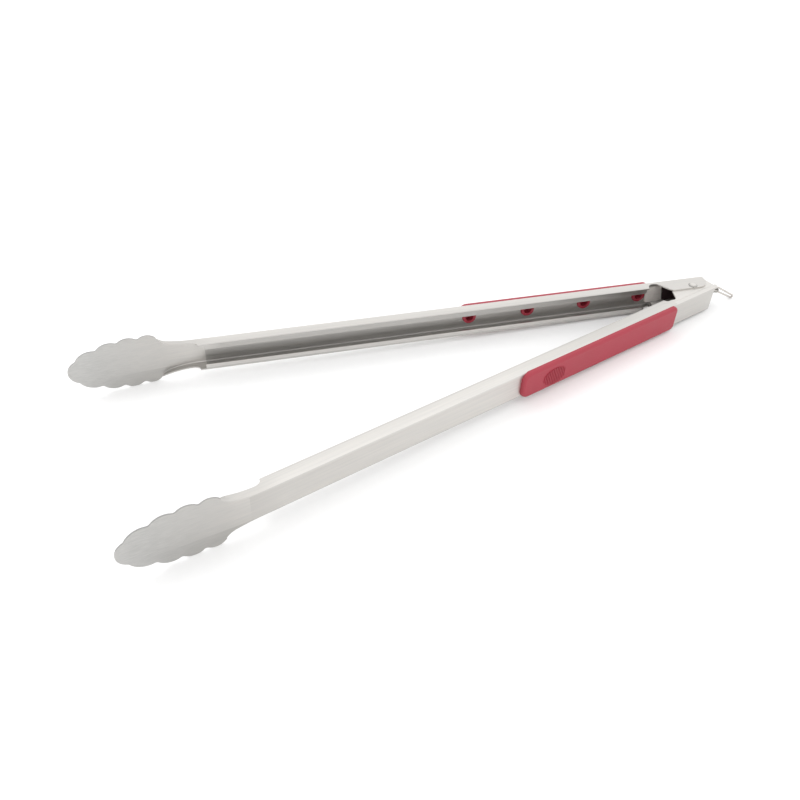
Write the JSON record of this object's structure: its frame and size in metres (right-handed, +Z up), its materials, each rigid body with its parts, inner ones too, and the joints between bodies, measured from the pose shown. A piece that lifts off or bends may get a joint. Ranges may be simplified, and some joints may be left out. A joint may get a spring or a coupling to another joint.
{
  "type": "spring loaded kitchen tongs",
  "caption": "Long locking kitchen tongs: channel-section steel arms with scalloped flat heads and rubber grips, pushed apart by a leaf spring and locked shut by a slide with a pull ring.",
  "frame": {"origin": "centre of the footprint of the open tongs, on the table they lie on", "axes": "+X from the heads back towards the pivot and the pull ring, +Y across from the left arm to the right arm, +Z up"},
  "size_m": [0.5059, 0.1682, 0.0398],
  "materials": {
    "arm_steel": "brushed along the arms",
    "grip_rubber": "moulded, satin",
    "rivet_steel": "satin",
    "spring_steel": "rolled strip",
    "slide_steel": "satin",
    "wire_steel": "drawn wire, polished"
  },
  "bodies": {
    "hub": {"pivot_rivet": "rivet_steel", "spacer_sleeve": "rivet_steel", "leaf_spring": "spring_steel"},
    "left_arm": {"left_arm": "arm_steel", "left_grip": "grip_rubber"},
    "right_arm": {"right_arm": "arm_steel", "right_grip": "grip_rubber"},
    "lock_slide": {"lock_slide": "slide_steel"},
    "pull_ring": {"pull_ring": "wire_steel"}
  },
  "joints": [
    {"name": "left_arm_hinge", "type": "hinge", "parent": "hub", "child": "left_arm", "pos_m": [0.2063, 0, 0.01188], "axis": [-0.0192, 0, -0.9998], "range_deg": [0, 10.2], "stiffness_Nm_per_rad": 1.7, "springref_deg": -5.16, "deforming": ["leaf_spring"]},
    {"name": "right_arm_hinge", "type": "hinge", "parent": "hub", "child": "right_arm", "pos_m": [0.2063, 0, 0.01188], "axis": [0.0192, 0, 0.9998], "range_deg": [0, 10.2], "stiffness_Nm_per_rad": 1.7, "springref_deg": -5.16, "deforming": ["leaf_spring"]},
    {"name": "lock_travel", "type": "slide", "parent": "hub", "child": "lock_slide", "axis": [-0.9998, 0, 0.0192], "range_m": [0, 0.011]},
    {"name": "ring_swing", "type": "hinge", "parent": "lock_slide", "child": "pull_ring", "pos_m": [0.2351, 0, 0.01133], "axis": [-0.1391, -0.9903, 0.0027], "range_deg": [-45, 80]}
  ],
  "couplings": [
    {"joint": "right_arm_hinge", "follows": "left_arm_hinge", "ratio": 1}
  ]
}
